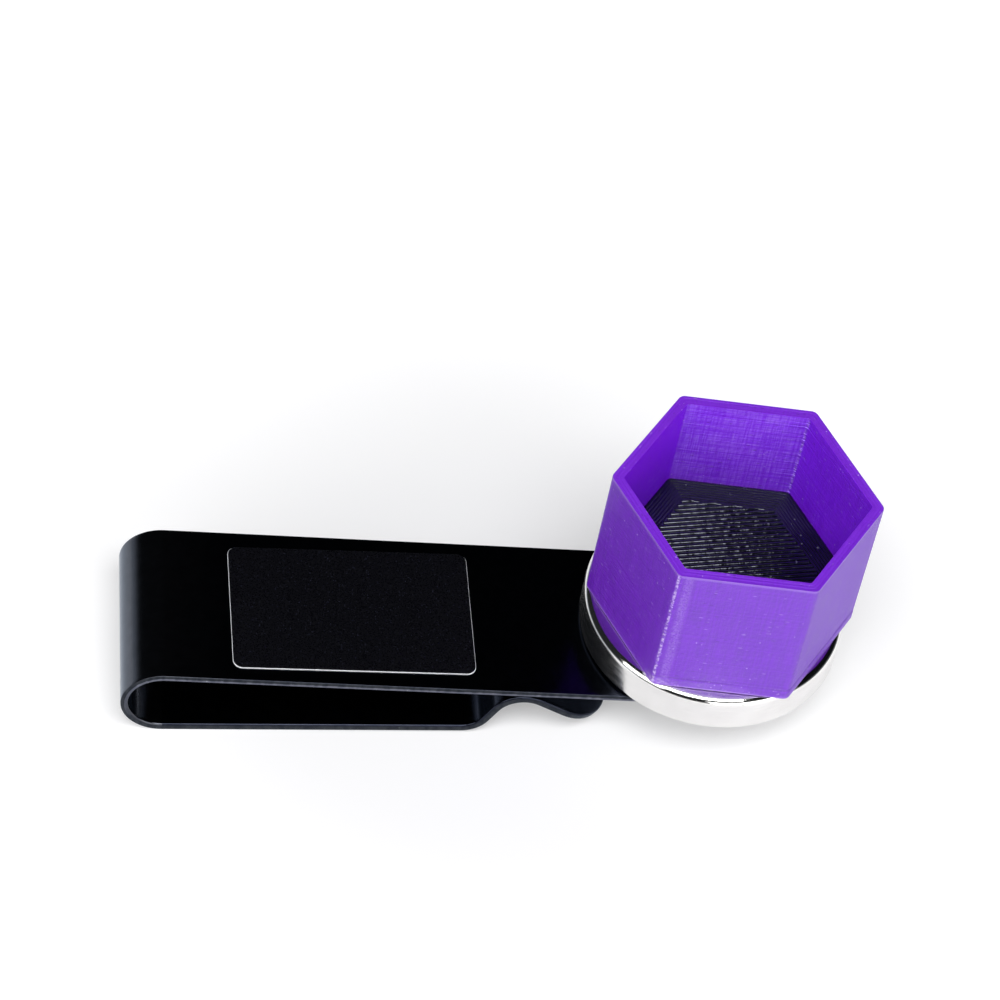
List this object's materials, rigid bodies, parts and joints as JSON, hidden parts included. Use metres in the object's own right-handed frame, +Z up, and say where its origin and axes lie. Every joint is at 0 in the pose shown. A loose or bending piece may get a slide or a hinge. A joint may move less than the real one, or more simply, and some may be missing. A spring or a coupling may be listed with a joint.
{
  "type": "cue chalk holder",
  "caption": "Belt-worn cue-chalk holder: a folded spring clip with a label, a disc magnet that clings to it, and a hexagonal cup bonded to the magnet.",
  "frame": {"origin": "on the table under the middle of the holder's box, as it lies on the bend and the lip's end", "axes": "+X along the clip from its bend towards the magnet, +Y across the clip, +Z up out of the cup"},
  "size_m": [0.0842, 0.03, 0.031],
  "materials": {
    "clip_black": "satin",
    "label_adhesive": "satin",
    "label_white": "satin",
    "label_black": "satin",
    "nickel": "polished",
    "bond": "gloss",
    "cup_purple": "satin",
    "insert_black": "satin"
  },
  "bodies": {
    "leaf": {"clip_leaf": "clip_black"},
    "clip": {"clip_plate": "clip_black", "clip_bend": "clip_black", "label_adhesive": "label_adhesive", "label_film": "label_white", "label_print": "label_black"},
    "magnet": {"magnet_disc": "nickel"},
    "cup": {"cup_bond": "bond", "cup_shell": "cup_purple", "cup_insert": "insert_black"}
  },
  "joints": [
    {"name": "leaf_flex", "type": "hinge", "parent": "leaf", "child": "clip", "pos_m": [-0.03731, 0, 0], "axis": [0, -1, 0], "range_deg": [0, 8], "stiffness_Nm_per_rad": 6},
    {"name": "pull_off", "type": "slide", "parent": "clip", "child": "magnet", "axis": [0.0527, 0, 0.9986], "range_m": [0, 0.025]},
    {"name": "cup_turn", "type": "hinge", "parent": "magnet", "child": "cup", "pos_m": [0.02538, 0, 0.01126], "axis": [0.0527, 0, 0.9986], "continuous": true}
  ]
}
